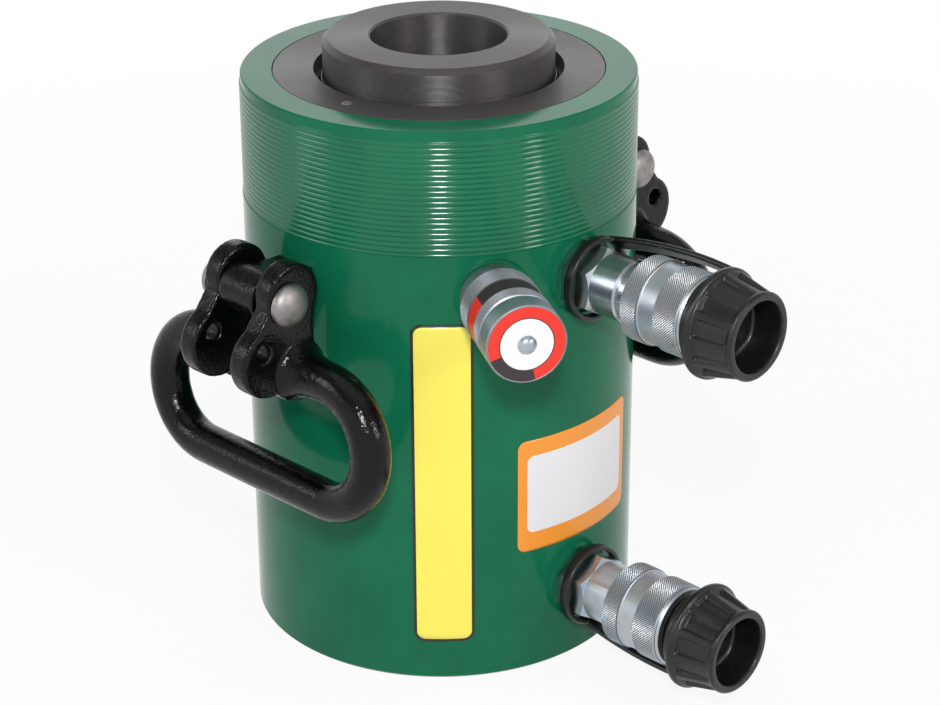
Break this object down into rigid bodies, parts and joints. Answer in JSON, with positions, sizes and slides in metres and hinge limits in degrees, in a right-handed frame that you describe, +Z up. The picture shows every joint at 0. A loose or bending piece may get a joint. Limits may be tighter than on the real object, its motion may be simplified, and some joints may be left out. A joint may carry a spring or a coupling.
{
  "type": "hollow plunger cylinder",
  "caption": "Double-acting hydraulic cylinder with a hole through its plunger, a collar thread, screw couplers with dust caps, a relief valve and swinging lifting shackles.",
  "frame": {"origin": "centre of the base, on the axis of the centre hole", "axes": "+Z up along the centre hole and the stroke; +X towards the couplers; -Y towards the left shackle"},
  "size_m": [0.2438, 0.2468, 0.2471],
  "materials": {
    "green_paint": "gloss enamel",
    "dark_steel": "blued and oiled, satin",
    "zinc_plate": "zinc plate, knurled",
    "spring_steel": "drawn wire",
    "black_rubber": "moulded satin",
    "seal_polymer": "moulded",
    "bearing_bronze": "bronze filled, matte",
    "forged_black": "black enamel over forging scale",
    "face_plate": "printed disc"
  },
  "bodies": {
    "barrel_assembly": {"barrel": "green_paint", "center_tube": "dark_steel", "tube_seal": "black_rubber", "gland_nut": "dark_steel", "gland_seal": "black_rubber", "gland_bearing": "bearing_bronze", "rod_seal": "seal_polymer", "rod_wiper": "black_rubber", "upper_coupler_body": "zinc_plate", "upper_coupler_spring": "spring_steel", "upper_cap_strap": "black_rubber", "lower_coupler_body": "zinc_plate", "lower_coupler_spring": "spring_steel", "lower_cap_strap": "black_rubber", "relief_body": "zinc_plate", "relief_seat": "zinc_plate", "relief_spring": "spring_steel", "relief_plate": "face_plate", "relief_screw": "zinc_plate", "left_lug": "forged_black", "left_pin": "zinc_plate", "right_lug": "forged_black", "right_pin": "zinc_plate"},
    "plunger_assembly": {"plunger": "dark_steel", "piston": "dark_steel", "piston_bearing": "bearing_bronze", "piston_seal": "seal_polymer", "inner_bearing": "bearing_bronze", "inner_seal": "seal_polymer", "saddle": "dark_steel"},
    "upper_collar": {"upper_coupler_collar": "zinc_plate"},
    "lower_collar": {"lower_coupler_collar": "zinc_plate"},
    "upper_cap": {"upper_dust_cap": "black_rubber"},
    "lower_cap": {"lower_dust_cap": "black_rubber"},
    "upper_poppet": {"upper_coupler_poppet": "zinc_plate"},
    "lower_poppet": {"lower_coupler_poppet": "zinc_plate"},
    "relief_valve_ball": {"relief_ball": "zinc_plate"},
    "left_shackle_swing": {"left_shackle": "forged_black"},
    "right_shackle_swing": {"right_shackle": "forged_black"}
  },
  "joints": [
    {"name": "plunger_stroke", "type": "slide", "parent": "barrel_assembly", "child": "plunger_assembly", "axis": [0, 0, 1], "range_m": [0, 0.0762]},
    {"name": "left_shackle_pivot", "type": "hinge", "parent": "barrel_assembly", "child": "left_shackle_swing", "pos_m": [0, -0.1005, 0.168], "axis": [-1, 0, 0], "range_deg": [-7, 165]},
    {"name": "right_shackle_pivot", "type": "hinge", "parent": "barrel_assembly", "child": "right_shackle_swing", "pos_m": [0, 0.1005, 0.168], "axis": [1, 0, 0], "range_deg": [-7, 165]},
    {"name": "upper_collar_spin", "type": "hinge", "parent": "barrel_assembly", "child": "upper_collar", "pos_m": [0.12, 0, 0.1671], "axis": [1, 0, 0], "continuous": true},
    {"name": "upper_cap_pull", "type": "slide", "parent": "barrel_assembly", "child": "upper_cap", "axis": [1, 0, 0], "range_m": [0, 0.03], "deforming": ["upper_cap_strap"]},
    {"name": "upper_poppet_push", "type": "slide", "parent": "barrel_assembly", "child": "upper_poppet", "axis": [-1, 0, 0], "range_m": [0, 0.005], "stiffness_N_per_m": 1200, "deforming": ["upper_coupler_spring"]},
    {"name": "lower_collar_spin", "type": "hinge", "parent": "barrel_assembly", "child": "lower_collar", "pos_m": [0.12, 0, 0.032], "axis": [1, 0, 0], "continuous": true},
    {"name": "lower_cap_pull", "type": "slide", "parent": "barrel_assembly", "child": "lower_cap", "axis": [1, 0, 0], "range_m": [-0.0033, 0.03], "deforming": ["lower_cap_strap"]},
    {"name": "lower_poppet_push", "type": "slide", "parent": "barrel_assembly", "child": "lower_poppet", "axis": [-1, 0, 0], "range_m": [0, 0.005], "stiffness_N_per_m": 1200, "deforming": ["lower_coupler_spring"]},
    {"name": "relief_ball_lift", "type": "slide", "parent": "barrel_assembly", "child": "relief_valve_ball", "axis": [0.8616, -0.5075, 0], "range_m": [0, 0.0015], "stiffness_N_per_m": 4000, "deforming": ["relief_spring"]}
  ]
}
